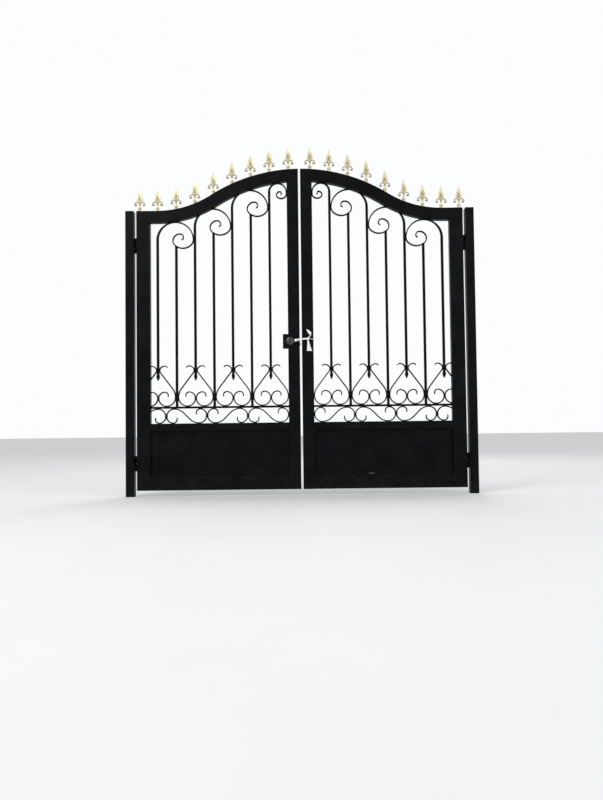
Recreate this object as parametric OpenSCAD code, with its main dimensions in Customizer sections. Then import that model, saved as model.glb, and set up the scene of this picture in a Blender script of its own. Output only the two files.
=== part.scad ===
// Double-leaf wrought iron gate with its two posts, closed, seen from the outside along +Y.
// X runs across the opening, Y goes in through the gate, Z is up.
// The origin is the middle of the left post's flat foot.

/* [Opening and posts] */
// Clear width between the two posts
opening_w = 1948; // [1878:7:2018]
// Width and depth of each square post
post_w = 50; // [40:1:60]
// Height of the posts, level with the outer ends of the curved rails
post_h = 1675; // [1600:5:1800]

/* [Leaf frame] */
// Depth of the frame tubes, from the outside face to the inside face
frame_d = 40; // [34:1:46]
// Width of the stile beside the middle gap
meeting_w = 68; // [60:1:76]
// Width of the stile on the hinge side
hinge_w = 80; // [70:1:90]
// Height of the bottom rail
bottom_h = 76; // [60:1:90]
// Height of the rail above the kick panel
mid_h = 44; // [36:1:50]
// Top of the kick panel's rail above the ground
mid_top = 423; // [410:1:440]
// Depth of the curved top rail, square to its curve
rail_h = 70; // [62:1:76]
// Rise of the curved rail from its outer end to its crest
rail_rise = 242; // [220:1:250]
// Radius of the crest's arc, on the upper edge
crest_r = 975; // [960:5:990]
// Thickness of the kick panel sheet
panel_t = 3; // [2:1:5]
// Clearance under the leaves
ground_gap = 35; // [25:1:45]
// Gap between the two leaves
middle_gap = 12; // [11:0.5:14]
// Gap between a leaf and its post
post_gap = 14; // [14:0.5:16]

/* [Grille] */
// Side of the square bars
bar_s = 13; // [12:0.5:14]
// Number of bars in a leaf, hanging and standing by turns
bar_count = 7; // [7:1:7]
// Clear space between the last bar and the hinge stile
end_space = 36; // [30:1:44]
// Height of the thin rail that carries the standing bars
thin_h = 12; // [10:1:14]
// Top of the thin rail above the ground
thin_top = 522; // [515:1:530]
// Height of the pointed tips of the hanging bars above the ground
tip_z = 672; // [660:1:690]

/* [Scrolls] */
// Thickness of the flat bar that the lower scrolls are bent from
strap_t = 6; // [5:0.5:7]
// Thickness of the drawn-down ends of the hanging bars
crook_t = 6.5; // [5:0.5:7]
// Straight length of the small crook that runs down the meeting stile
first_drop = 16; // [8:1:20]
// Height where the lyre scrolls touch the hanging bars
lyre_touch = 735; // [730:1:740]
// Radius of the S-scrolls' outer turn
band_r = 44; // [43:0.5:45]
// Width and height of the collars on the S-scrolls
collar_s = 15; // [13:1:17]

/* [Finials] */
// Height of a spear finial above the rail
finial_h = 138; // [126:1:144]
// Width of a finial's blade
blade_w = 40; // [34:1:44]
// Distance from the first bar to the finial on the meeting stile
finial_in = 113; // [105:1:118]
// Distance from the last bar to the finial on the hinge stile
finial_out = 105; // [95:1:110]

/* [Hinges] */
// Height of each hinge's middle above the ground
hinge_z = [190, 1480];
// Outer radius of the hinge barrels
barrel_r = 11; // [10:0.5:11]
// Height of one half of a hinge barrel
knuckle_h = 44; // [36:1:50]
// Radius of the hinge pins
pin_r = 6; // [5:0.5:6]

/* [Lock and lever] */
// Height of the lever's spindle above the ground
spindle_z = 897; // [880:1:910]
// Distance of the spindle from the middle of the gate
spindle_u = 62; // [62:1:66]
// Length of the lever from its spindle to its tip
lever_l = 58; // [50:1:58]
// Distance of the lever's middle line from the middle of the leaf's depth
lever_y = 52; // [50:1:56]
// Radius of the round rose
rose_r = 24; // [20:1:26]

/* [Hidden] */
$fn = 64;

// Distances u are measured from the middle of the gate towards the hinges, the same on both leaves.
post_u = opening_w / 2;
leaf_u = post_u - post_gap;
stile_u = leaf_u - hinge_w;
edge_u = middle_gap / 2;
meet_u = edge_u + meeting_w;
pitch = (stile_u - end_space - meet_u) / bar_count;
bar_u = [for (n = [1 : bar_count]) meet_u + n * pitch - bar_s / 2];
hanging = [0, 2, 4, 6];
standing = [1, 3, 5];
middle_x = post_w / 2 + post_u;

// The rail's upper edge is two arcs that meet at the same slope, and is flat past the last bar.
rail_run = bar_u[bar_count - 1];
rail_turn = 2 * atan(rail_rise / rail_run);
sag_r = rail_run / sin(rail_turn) - crest_r;
crest_c = [0, post_h + rail_rise - crest_r];
sag_c = [rail_run, post_h + sag_r];
turn_u = crest_r * sin(rail_turn);
function rail_top(u) = u < turn_u ? crest_c.y + sqrt(crest_r * crest_r - u * u)
    : u < rail_run ? sag_c.y - sqrt(pow(sag_r, 2) - pow(rail_run - u, 2))
    : post_h;
function rail_under(u) = let (crest = crest_r - rail_h, sag = sag_r + rail_h)
    u < crest * sin(rail_turn) ? crest_c.y + sqrt(crest * crest - u * u)
    : sag_c.y - sqrt(sag * sag - pow(rail_run - u, 2));

// A scroll's middle line is a list of moves, each [radius, turn], left turns positive.
// A move with no turn is a straight one, and its first number is its length.
fine = 7.5;
seat = 0.4;
function moved(p, h, r, a) = a == 0 ? p + r * [cos(h), sin(h)]
    : p + sign(a) * r * ([-sin(h), cos(h)] - [-sin(h + a), cos(h + a)]);
function steps(a) = a == 0 ? 1 : ceil(abs(a) / fine);
function track(moves, p, h, i = 0) = i == len(moves) ? []
    : let (r = moves[i][0], a = moves[i][1], n = steps(a))
      concat([for (k = [1 : n]) [moved(p, h, r, a == 0 ? 0 : a * k / n), h + a * k / n]],
             track(moves, moved(p, h, r, a), h + a, i + 1));
function line_of(moves, p, h) = concat([[p, h]], track(moves, p, h));

// Half the thickness at step i: from root to body over the first steps, then thin at the tip.
function half_t(i, n, root, body, root_n) =
    (i < root_n ? body + (root - body) * (1 - i / root_n)
     : i == n - 1 ? body * 0.6 : body) / 2;

// A crook's arch spans to the next hanging bar, or to the stile for the first bar.
function crook_end(n) = n == 0 ? meet_u : bar_u[n - 2] + bar_s / 2;
function crook_r(n) = (bar_u[n] - crook_end(n) - crook_t / 2 + seat) / 2;
function crook_moves(n) = let (r = crook_r(n)) concat([[r, 180]],
    n == 0 ? [[first_drop, 0]] : [],
    [[0.4 * r, 45], [0.66 * r, 90], [0.32 * r, 45], [0.39 * r, 90], [0.2 * r, 90],
     [0.125 * r, 75]]);

// The height where a crook's arch begins, so that its top touches the rail's underside.
function arch_z(n) = rail_under(bar_u[n] - crook_r(n)) - crook_r(n) - crook_t / 2 + seat;

// The arc at the foot of the curl, where the standing bar ends.
curl_r = 0.66 * crook_r(2);
curl_shift = (curl_r - 0.4 * crook_r(2)) * sin(45);
curl_c = [curl_shift - 1.6 * crook_r(2), curl_shift];

// One arm of a lyre, from its touch on the hanging bar down to its inner end, and its hook.
arm_x = bar_s / 2 + strap_t / 2 - seat;
arm_out = pitch - bar_s / 2 - strap_t / 2 + seat;
arm_turn = 37;
touch_r = 25;
foot_r = 52;
foot_z = thin_top + strap_t / 2 - seat + foot_r;
arm_down = lyre_touch - foot_z - touch_r * sin(arm_turn);
arm_side = arm_out - arm_x - touch_r * (1 - cos(arm_turn));
arm_r = (arm_down * sin(arm_turn) - arm_side * cos(arm_turn)) / (1 - cos(arm_turn));
arm_l = (arm_down - arm_r * sin(arm_turn)) / cos(arm_turn);
side_r = arm_out - foot_r - strap_t / 2 + seat;
arm_moves = [[touch_r, arm_turn], [arm_l, 0], [arm_r, -arm_turn], [foot_r, -90],
             [side_r, -90], [36, -90], [20, -110]];
hook_moves = [[20, -40], [34, -50], [16, -60]];

// Half of an S-scroll, from its middle to its inner end.
band_z = mid_top;
band_h = thin_top - thin_h - mid_top;
band_l = (stile_u - meet_u - 2 * band_r - 1) / 3;
band_turn = 45;
band_run = band_l / 2 - band_r - strap_t / 2 + seat;
band_rise = band_h / 2 - strap_t / 2 + seat;
crown_r = (band_run * sin(band_turn) - band_rise * cos(band_turn)) / (1 - cos(band_turn));
band_half = (band_run - crown_r * sin(band_turn)) / cos(band_turn);
band_moves = [[band_half, 0], [crown_r, -band_turn], [band_r, -90],
              [2 * band_rise - band_r, -90], [23, -110]];

finial_u = concat([bar_u[0] - finial_in], bar_u, [bar_u[bar_count - 1] + finial_out]);

// Hinge axes stand behind the gate, in the middle of the gap beside each post.
axis_u = leaf_u + post_gap / 2;
axis_y = post_w / 2 + barrel_r;
tab_w = 42;
tab_t = 6;
knuckle_gap = 1;

case_u = 105;
case_h = 84;
case_d = 30;
rose_t = 8;
spindle_s = 8;
spindle_hole = 6.5;
lever_t = 12;
lever_rise = 8;
strip_t = 1.5;
strip_z = 909;
strip_u = 42;

iron = [0.09, 0.09, 0.1];
gold = [0.86, 0.68, 0.3];
steel = [0.78, 0.79, 0.8];

module upright(depth) {
    rotate([90, 0, 0]) linear_extrude(height = depth, center = true) children();
}

// side is -1 for the left leaf and 1 for the right one.
module leaf(side) {
    translate([middle_x, 0, 0]) mirror([side < 0 ? 1 : 0, 0, 0]) children();
}

module box_between(u0, u1, z0, z1, d) {
    translate([u0, -d / 2, z0]) cube([u1 - u0, d, z1 - z0]);
}

module strap(moves, start, heading, body, root, root_n = 0) {
    path = line_of(moves, start, heading);
    n = len(path);
    polygon([for (i = [0 : 2 * n - 1])
        let (k = i < n ? i : 2 * n - 1 - i, side = i < n ? 1 : -1,
             t = half_t(k, n, root, body, root_n), h = path[k][1])
        path[k][0] + side * t * [-sin(h), cos(h)]]);
}

module post() {
    color(iron) translate([-post_w / 2, -post_w / 2, 0]) cube([post_w, post_w, post_h]);
}

module ring_part(c, r0, r1, a0, a1) {
    far = 2 * r1;
    translate(c) intersection() {
        difference() {
            circle(r = r1, $fn = 180);
            circle(r = r0, $fn = 180);
        }
        polygon([[0, 0], far * [cos(a0), sin(a0)], far * [cos(a1), sin(a1)]]);
    }
}

module rail_outline() {
    intersection() {
        ring_part(crest_c, crest_r - rail_h, crest_r, 90 - rail_turn, 90);
        translate([edge_u, 0]) square([turn_u, 2 * post_h]);
    }
    ring_part(sag_c, sag_r, sag_r + rail_h, 270 - rail_turn, 270);
    translate([rail_run, post_h - rail_h]) square([leaf_u - rail_run, rail_h]);
}

module top_rail() {
    color(iron) upright(frame_d) rail_outline();
}

module hinge_stile() {
    color(iron) box_between(stile_u, leaf_u, ground_gap, post_h - rail_h, frame_d);
}

module meeting_stile(has_lock) {
    color(iron) difference() {
        upright(frame_d) difference() {
            translate([edge_u, ground_gap])
                square([meeting_w, rail_top(meet_u) - rail_h / 2 - ground_gap]);
            rail_outline();
        }
        if (has_lock) {
            box_between(edge_u - 1, meet_u + 1, spindle_z - case_h / 2,
                        spindle_z + case_h / 2, case_d);
            spindle_bore(frame_d + 2);
        } else {
            keep_block();
        }
    }
}

module mid_rail() {
    color(iron) box_between(meet_u, stile_u, mid_top - mid_h, mid_top, frame_d);
}

module bottom_rail() {
    color(iron) box_between(meet_u, stile_u, ground_gap, ground_gap + bottom_h, frame_d);
}

module kick_panel() {
    color(iron) box_between(meet_u, stile_u, ground_gap + bottom_h, mid_top - mid_h, panel_t);
}

module thin_rail() {
    color(iron) box_between(meet_u, stile_u, thin_top - thin_h, thin_top, bar_s);
}

module crook_outline(n) {
    strap(crook_moves(n), [bar_u[n], arch_z(n)], 90, crook_t, bar_s, 8);
}

module opening() {
    translate([meet_u, thin_top]) square([stile_u - meet_u, 2 * post_h]);
}

module dart_profile() {
    w = bar_s / 2;
    polygon([[-w, tip_z + 40], [-w - 2.5, tip_z + 26], [-w, tip_z + 14], [-0.6, tip_z],
             [0.6, tip_z], [w, tip_z + 14], [w + 2.5, tip_z + 26], [w, tip_z + 40]]);
}

module dart() {
    intersection() {
        upright(2 * bar_s) dart_profile();
        rotate([0, 0, 90]) upright(2 * bar_s) dart_profile();
    }
}

module hanging_outline() {
    difference() {
        intersection() {
            opening();
            for (n = hanging) {
                crook_outline(n);
                translate([bar_u[n] - bar_s / 2, tip_z + 40])
                    square([bar_s, arch_z(n) - tip_z - 40]);
            }
        }
        rail_outline();
    }
}

// A standing bar ends on the curl of the crook beside it, which it carries.
module standing_outline() {
    for (n = standing) {
        c = [bar_u[n + 1] + curl_c.x, arch_z(n + 1) + curl_c.y];
        difference() {
            translate([bar_u[n] - bar_s / 2, thin_top]) square([bar_s, c.y - thin_top]);
            translate(c) circle(r = curl_r);
        }
    }
}

module bars() {
    color(iron) {
        upright(bar_s) {
            hanging_outline();
            standing_outline();
        }
        for (n = hanging) translate([bar_u[n], 0, 0]) dart();
    }
}

module lyre_arm() {
    strap(arm_moves, [arm_x, lyre_touch], -90, strap_t, strap_t);
    strap(hook_moves, [arm_x, lyre_touch], 90, strap_t, strap_t);
}

module lyre_scrolls() {
    color(iron) upright(bar_s) difference() {
        intersection() {
            opening();
            for (n = hanging) translate([bar_u[n], 0]) {
                lyre_arm();
                mirror([1, 0]) lyre_arm();
            }
        }
        for (n = standing) translate([bar_u[n] - bar_s / 2, thin_top])
            square([bar_s, post_h]);
        for (n = hanging) translate([bar_u[n] - bar_s / 2, tip_z + 40])
            square([bar_s, post_h]);
    }
}

module s_scroll() {
    for (turn = [0, 180]) rotate(turn)
        strap(band_moves, [0, 0], band_turn, strap_t, strap_t);
}

module band_outline() {
    intersection() {
        translate([meet_u, band_z]) square([stile_u - meet_u, band_h]);
        for (n = [0 : 3])
            translate([meet_u + (n + 0.5) * band_l, band_z + band_h / 2])
                mirror([n % 2, 0]) s_scroll();
    }
}

module band_scrolls() {
    color(iron) upright(bar_s) band_outline();
}

module scroll_collars() {
    color(iron) difference() {
        for (n = [1 : 3]) {
            u = meet_u + n * band_l;
            z = n % 2 == 1 ? band_z + band_h - band_r - 2 : band_z + band_r + 2;
            box_between(u - collar_s / 2, u + collar_s / 2, z - collar_s / 2,
                        z + collar_s / 2, bar_s + 4);
        }
        upright(bar_s) band_outline();
    }
}

finial_curl = [[16, -155], [8, -150], [5, -120]];
blade_z = 0.38 * finial_h;
blade_top = finial_h - blade_z;

module blade_front() {
    w = blade_w / 2;
    polygon([[-4, 0], [-w + 5, 5], [-w, 14], [-w + 4, 26], [-w + 13, 58], [-0.8, blade_top],
             [0.8, blade_top], [w - 13, 58], [w - 4, 26], [w, 14], [w - 5, 5], [4, 0]]);
}

module blade_side() {
    polygon([[-4, 0], [-7, 16], [-4, 50], [-0.8, blade_top], [0.8, blade_top],
             [4, 50], [7, 16], [4, 0]]);
}

module finial() {
    ball_r = 12;
    translate([0, 0, ball_r]) sphere(r = ball_r);
    translate([0, 0, -rail_h / 4]) cylinder(r = 8, h = rail_h / 4 + 6);
    translate([0, 0, ball_r]) cylinder(r = 4.5, h = blade_z - ball_r + 2);
    translate([0, 0, blade_z - 8]) cylinder(r = 9, h = 4);
    translate([0, 0, blade_z]) intersection() {
        upright(2 * blade_w) blade_front();
        rotate([0, 0, 90]) upright(2 * blade_w) blade_side();
    }
    upright(6) for (side = [0, 1]) mirror([side, 0])
        strap(finial_curl, [3, blade_z - 12], 65, 5.5, 6.5, 3);
}

module finials() {
    color(gold) difference() {
        for (u = finial_u) translate([u, 0, rail_top(u)]) finial();
        top_rail();
    }
}

module knuckle(z, h) {
    translate([axis_u, axis_y, z]) cylinder(r = barrel_r, h = h);
}

module leaf_hinges() {
    color(iron) for (z = hinge_z) difference() {
        union() {
            knuckle(z + knuckle_gap / 2, knuckle_h);
            translate([axis_u - tab_w, frame_d / 2, z + knuckle_gap / 2])
                cube([tab_w, tab_t + 1, knuckle_h]);
        }
        translate([axis_u, axis_y, z]) cylinder(r = pin_r + 0.3, h = knuckle_h - 2);
    }
}

module post_hinges() {
    color(iron) for (z = hinge_z) {
        knuckle(z - knuckle_gap / 2 - knuckle_h, knuckle_h);
        translate([axis_u, axis_y, z - 10]) cylinder(r = pin_r, h = knuckle_h + 7);
        translate([axis_u, post_w / 2, z - knuckle_gap / 2 - knuckle_h])
            cube([tab_w, tab_t, knuckle_h]);
    }
}

module spindle_bore(d) {
    translate([spindle_u, 0, spindle_z]) rotate([90, 0, 0])
        cylinder(r = spindle_hole, h = d, center = true);
}

module bolt_block(reach, grow) {
    translate([edge_u - reach, -6 - grow, spindle_z - 25 - grow])
        cube([reach + 30, 12 + 2 * grow, 16 + 2 * grow]);
}

module lock_case() {
    color(iron) difference() {
        box_between(edge_u, case_u, spindle_z - case_h / 2, spindle_z + case_h / 2, case_d);
        spindle_bore(frame_d);
        bolt_block(4, 0);
    }
}

module latch_bolt() {
    color(steel) bolt_block(4, 0);
}

module rose(face) {
    color(iron) difference() {
        translate([spindle_u, face * (frame_d / 2 + rose_t / 2), spindle_z])
            rotate([90, 0, 0]) cylinder(r = rose_r, h = rose_t, center = true);
        spindle_bore(2 * frame_d);
    }
}

module keep_block() {
    box_between(edge_u - 1, edge_u + 2.5, spindle_z - 55, spindle_z + 25, 24);
}

module keep_plate() {
    color(steel) difference() {
        intersection() {
            keep_block();
            box_between(edge_u, meet_u, ground_gap, post_h, frame_d);
        }
        bolt_block(4, 1.5);
    }
}

module spindle() {
    color(steel) translate([spindle_u, 0, spindle_z])
        cube([spindle_s, 2 * (frame_d / 2 + rose_t + 8), spindle_s], center = true);
}

module lever(face) {
    hub_y = frame_d / 2 + rose_t + 0.5;
    root_r = 11.5;
    tip_r = 6.5;
    color(steel) difference() {
        union() {
            translate([spindle_u, face * (hub_y + lever_y + lever_t / 2) / 2, spindle_z])
                rotate([90, 0, 0])
                cylinder(r = root_r, h = lever_y + lever_t / 2 - hub_y, center = true);
            translate([spindle_u, face * lever_y, spindle_z]) rotate([0, lever_rise, 0])
                upright(lever_t) {
                    circle(r = root_r);
                    translate([tip_r - lever_l, 0]) circle(r = tip_r);
                    polygon([[0, root_r], [tip_r - lever_l, tip_r],
                             [tip_r - lever_l, -tip_r], [0, -root_r]]);
                }
        }
        spindle();
    }
}

module tie_strip() {
    color("white") {
        difference() {
            box_between(edge_u - strip_t, meet_u + strip_t, strip_z - 5, strip_z + 5,
                        frame_d + 2 * strip_t);
            box_between(edge_u, meet_u, strip_z - 6, strip_z + 6, frame_d);
        }
        translate([strip_u, -frame_d / 2 - strip_t - 1, strip_z])
            upright(4) {
                circle(r = 7);
                polygon([[-4, 0], [4, 0], [24, -72], [-8, -72]]);
                polygon([[-4, 0], [4, -3], [20, 22], [12, 28], [-8, 58], [-10, 54], [6, 24]]);
            }
    }
}

post();  // post_left
translate([2 * middle_x, 0, 0]) post();  // post_right
leaf(-1) post_hinges();  // post_hinges_left
leaf(1) post_hinges();  // post_hinges_right
leaf(-1) hinge_stile();  // hinge_stile_left
leaf(-1) meeting_stile(true);  // meeting_stile_left
leaf(-1) top_rail();  // top_rail_left
leaf(-1) mid_rail();  // mid_rail_left
leaf(-1) bottom_rail();  // bottom_rail_left
leaf(-1) kick_panel();  // kick_panel_left
leaf(-1) thin_rail();  // thin_rail_left
leaf(-1) bars();  // bars_left
leaf(-1) lyre_scrolls();  // lyre_scrolls_left
leaf(-1) band_scrolls();  // band_scrolls_left
leaf(-1) scroll_collars();  // scroll_collars_left
leaf(-1) finials();  // finials_left
leaf(-1) leaf_hinges();  // leaf_hinges_left
leaf(-1) lock_case();
leaf(-1) latch_bolt();
leaf(-1) rose(-1);  // rose_front
leaf(-1) rose(1);  // rose_back
leaf(1) hinge_stile();  // hinge_stile_right
leaf(1) meeting_stile(false);  // meeting_stile_right
leaf(1) top_rail();  // top_rail_right
leaf(1) mid_rail();  // mid_rail_right
leaf(1) bottom_rail();  // bottom_rail_right
leaf(1) kick_panel();  // kick_panel_right
leaf(1) thin_rail();  // thin_rail_right
leaf(1) bars();  // bars_right
leaf(1) lyre_scrolls();  // lyre_scrolls_right
leaf(1) band_scrolls();  // band_scrolls_right
leaf(1) scroll_collars();  // scroll_collars_right
leaf(1) finials();  // finials_right
leaf(1) leaf_hinges();  // leaf_hinges_right
leaf(1) keep_plate();
leaf(1) tie_strip();
leaf(-1) spindle();
leaf(-1) lever(-1);  // lever_front
leaf(-1) lever(1);  // lever_back
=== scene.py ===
import math
import random

import bmesh
import bpy
from mathutils import Matrix, Vector, noise


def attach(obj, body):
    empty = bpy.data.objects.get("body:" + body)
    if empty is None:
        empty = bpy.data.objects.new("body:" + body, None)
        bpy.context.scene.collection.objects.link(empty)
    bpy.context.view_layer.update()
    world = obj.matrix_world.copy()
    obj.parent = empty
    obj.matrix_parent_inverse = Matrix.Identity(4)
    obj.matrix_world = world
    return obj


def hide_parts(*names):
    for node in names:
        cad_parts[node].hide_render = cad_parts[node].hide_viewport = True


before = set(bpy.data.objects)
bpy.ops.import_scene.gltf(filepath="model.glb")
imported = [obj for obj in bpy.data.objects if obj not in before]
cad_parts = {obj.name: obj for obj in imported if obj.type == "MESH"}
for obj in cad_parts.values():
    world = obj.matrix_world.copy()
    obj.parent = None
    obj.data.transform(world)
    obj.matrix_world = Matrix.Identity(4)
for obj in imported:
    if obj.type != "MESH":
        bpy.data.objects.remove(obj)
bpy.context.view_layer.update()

random.seed(7)

# Sizes of shapes are in millimetres, the same as in the CAD source, and piece() turns its mesh
# into metres. Sizes in materials, and of the camera, floor and lamps, are in metres.
# u is the distance from the middle of the gate towards the hinges, the same on both leaves.
MM = 0.001
MIDDLE_X = 999.0
SIDES = {"left": -1, "right": 1}

# The free edge of a leaf, the inner edges of its two stiles, its hinge edge, and the post.
EDGE_U, MEET_U, STILE_U, LEAF_U, POST_U = 6.0, 74.0, 880.0, 960.0, 974.0
POST_W, POST_H, FRAME_D = 50.0, 1675.0, 40.0
GROUND_GAP, BOTTOM_H, MID_H, MID_TOP = 35.0, 76.0, 44.0, 423.0
PANEL_T = 3.0

# Square bars; the even ones hang from crooks, and the others stand on the thin rail.
BAR, PITCH = 13.0, 110.0
BAR_U = [MEET_U + n * PITCH - BAR / 2 for n in range(1, 8)]
HANGING, STANDING = (0, 2, 4, 6), (1, 3, 5)
THIN_TOP, THIN_H, TIP_Z = 522.0, 12.0, 672.0
RAIL_H, RAIL_RISE, RAIL_RUN, CREST_R = 70.0, 242.0, BAR_U[6], 975.0

# Scrolls; SEAT is how far they sink into what they touch.
STRAP, CROOK, SEAT = 6.0, 6.5, 0.4
FIRST_DROP = 16.0
LYRE_TOUCH, BAND_R, COLLAR = 735.0, 44.0, 15.0
# Thickness of the dressed bars, straps and crooks: a little more than the solids have.
BAR_SEEN, STRAP_SEEN, CROOK_SEEN = 14.6, 6.9, 7.3

FINIAL_H = 138.0
FINIAL_U = [BAR_U[0] - 113] + BAR_U + [BAR_U[6] + 105]
HINGE_Z, AXIS_U, KNUCKLE_H = (190.0, 1480.0), LEAF_U + 7, 44.0
SPINDLE_U, SPINDLE_Z, LEVER_L, LEVER_Y, ROSE_T = 62.0, 897.0, 58.0, 52.0, 8.0
STRIP_U, STRIP_Z = 42.0, 909.0

ACROSS, DEEP, UP = Vector((1, 0, 0)), Vector((0, 1, 0)), Vector((0, 0, 1))


def sind(a):
    return math.sin(math.radians(a))


def cosd(a):
    return math.cos(math.radians(a))


def circle(count):
    """Points (cosine, sine) round a circle of radius 1."""
    return [(cosd(360 * k / count), sind(360 * k / count)) for k in range(count)]


def between(table, s):
    """The numbers at s, read between the rows of a table whose first column is s."""
    for (s0, *low), (s1, *high) in zip(table, table[1:]):
        if s <= s1:
            t = (s - s0) / (s1 - s0)
            return [a + (b - a) * t for a, b in zip(low, high)]
    return list(table[-1][1:])


# The curved rail: two arcs that meet at the same slope, then level.
RAIL_TURN = 2 * math.degrees(math.atan(RAIL_RISE / RAIL_RUN))
SAG_R = RAIL_RUN / sind(RAIL_TURN) - CREST_R
CREST_Z, SAG_Z = POST_H + RAIL_RISE - CREST_R, POST_H + SAG_R


def rail_line(u, down=0.0):
    """Height of the rail's upper edge at u, or of a line that far below it, square to its curve."""
    crest, sag = CREST_R - down, SAG_R + down
    if u < crest * sind(RAIL_TURN):
        return CREST_Z + math.sqrt(crest ** 2 - u ** 2)
    if u < RAIL_RUN:
        return SAG_Z - math.sqrt(sag ** 2 - (RAIL_RUN - u) ** 2)
    return POST_H - down


# ---------- paths ----------

def path_of(moves, start, heading, fine=4.0):
    """Points (u, z, heading) along moves, each (radius, turn) or (length, 0) for a straight.

    An arc has a point every fine degrees or less."""
    u, z = start
    out = [(u, z, heading)]
    for r, turn in moves:
        if turn == 0:
            u, z = u + r * cosd(heading), z + r * sind(heading)
            out.append((u, z, heading))
            continue
        s = math.copysign(1, turn)
        cu, cz = u - s * r * sind(heading), z + s * r * cosd(heading)
        n = max(2, math.ceil(abs(turn) / fine))
        for k in range(1, n + 1):
            h = heading + turn * k / n
            out.append((cu + s * r * sind(h), cz - s * r * cosd(h), h))
        heading += turn
        u, z = out[-1][:2]
    return out


def turned_back(path):
    """The same path walked the other way."""
    return [(u, z, h + 180) for u, z, h in reversed(path)]


def moved(path, u0=0.0, z0=0.0, mirror=False, flip=False):
    """The path shifted by (u0, z0), after a mirror in u or a half turn."""
    out = []
    for u, z, h in path:
        if flip:
            u, z, h = -u, -z, h + 180
        if mirror:
            u, h = -u, 180 - h
        out.append((u + u0, z + z0, h))
    return out


def crook_r(n):
    """Radius of the arch of hanging bar n, which reaches the bar or the stile before it."""
    end = MEET_U if n == 0 else BAR_U[n - 2] + BAR / 2
    return (BAR_U[n] - end - CROOK / 2 + SEAT) / 2


def crook_z(n):
    """Height at which bar n turns into its arch, so that the arch touches the rail."""
    r = crook_r(n)
    return rail_line(BAR_U[n] - r, RAIL_H) - r - CROOK / 2 + SEAT


def crook_moves(n):
    """An arch, and a curl of arcs that are shares of its radius."""
    r = crook_r(n)
    drop = [(FIRST_DROP, 0)] if n == 0 else []
    curl = [(0.4, 45), (0.66, 90), (0.32, 45), (0.39, 90), (0.2, 90), (0.125, 75)]
    return [(r, 180)] + drop + [(share * r, turn) for share, turn in curl]


# One arm of a lyre, from where it leaves its bar down to the thin rail and in; its hook above.
ARM_X = BAR / 2 + STRAP / 2 - SEAT
ARM_OUT = PITCH - BAR / 2 - STRAP / 2 + SEAT
ARM_TURN, TOUCH_R, FOOT_R = 37, 25.0, 52.0
FOOT_Z = THIN_TOP + STRAP / 2 - SEAT + FOOT_R
ARM_DOWN = LYRE_TOUCH - FOOT_Z - TOUCH_R * sind(ARM_TURN)
ARM_SIDE = ARM_OUT - ARM_X - TOUCH_R * (1 - cosd(ARM_TURN))
ARM_R = (ARM_DOWN * sind(ARM_TURN) - ARM_SIDE * cosd(ARM_TURN)) / (1 - cosd(ARM_TURN))
ARM_L = (ARM_DOWN - ARM_R * sind(ARM_TURN)) / cosd(ARM_TURN)
ARM_MOVES = [(TOUCH_R, ARM_TURN), (ARM_L, 0), (ARM_R, -ARM_TURN), (FOOT_R, -90),
             (ARM_OUT - FOOT_R - STRAP / 2 + SEAT, -90), (36, -90), (20, -110)]
HOOK_MOVES = [(20, -40), (34, -50), (16, -60)]

# Half of an S-scroll in the band under the thin rail, from its middle.
BAND_H = THIN_TOP - THIN_H - MID_TOP
BAND_L = (STILE_U - MEET_U - 2 * BAND_R - 1) / 3
BAND_TURN = 45
BAND_RUN = BAND_L / 2 - BAND_R - STRAP / 2 + SEAT
BAND_RISE = BAND_H / 2 - STRAP / 2 + SEAT
CROWN_R = (BAND_RUN * sind(BAND_TURN) - BAND_RISE * cosd(BAND_TURN)) / (1 - cosd(BAND_TURN))
BAND_MOVES = [((BAND_RUN - CROWN_R * sind(BAND_TURN)) / cosd(BAND_TURN), 0), (CROWN_R, -BAND_TURN),
              (BAND_R, -90), (2 * BAND_RISE - BAND_R, -90), (23, -110)]


# ---------- mesh tools ----------

def rounded(across, deep, r, n=3):
    """A rounded rectangle as points (a, b) round its edge, with n steps round each corner."""
    r = min(r, across * 0.49, deep * 0.49)
    a, b = across / 2 - r, deep / 2 - r
    out = []
    for ca, cb, start in ((a, b, 0), (-a, b, 90), (-a, -b, 180), (a, -b, 270)):
        out += [(ca + r * cosd(start + 90 * k / n), cb + r * sind(start + 90 * k / n))
                for k in range(n + 1)]
    return out


def ring(bm, centre, across, deep, section):
    """New points of a section round centre; across and deep are its two directions."""
    return [bm.verts.new(centre + across * a + deep * b) for a, b in section]


def loft(bm, rings, caps=True, loop=False):
    """Faces from ring to ring, closed by caps or, in a loop, back to the first ring."""
    pairs = list(zip(rings, rings[1:])) + ([(rings[-1], rings[0])] if loop else [])
    for low, high in pairs:
        for k in range(len(low)):
            j = (k + 1) % len(low)
            bm.faces.new((low[k], low[j], high[j], high[k]))
    if caps and not loop:
        bm.faces.new(rings[0][::-1])
        bm.faces.new(rings[-1])


def lengths_of(path):
    """Distance along the path at each of its points."""
    out = [0.0]
    for a, b in zip(path, path[1:]):
        out.append(out[-1] + math.hypot(b[0] - a[0], b[1] - a[1]))
    return out


def sweep(bm, path, size, edge=1.2, round_start=False):
    """A bar along a path in the gate's plane, with a rounded end.

    size(s, total) gives its thickness and its depth at s."""
    along = lengths_of(path)
    total = along[-1]
    rings = []

    def station(point, s, shift=0, grow=1):
        u, z, h = point
        t, d = size(s, total)
        centre = Vector((u + shift * cosd(h), 0, z + shift * sind(h)))
        across = Vector((-sind(h), 0, cosd(h)))
        rings.append(ring(bm, centre, across, DEEP, rounded(t * grow, d * grow, edge * grow)))

    def dome(point, s, steps, way):
        half = size(s, total)[0] / 2
        for a in steps:
            station(point, s, way * half * sind(a), max(0.2, cosd(a)))

    if round_start:
        dome(path[0], 0, (80, 60, 35), -1)
    for point, s in zip(path, along):
        station(point, s)
    dome(path[-1], total, (35, 60, 80), 1)
    loft(bm, rings)


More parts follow.
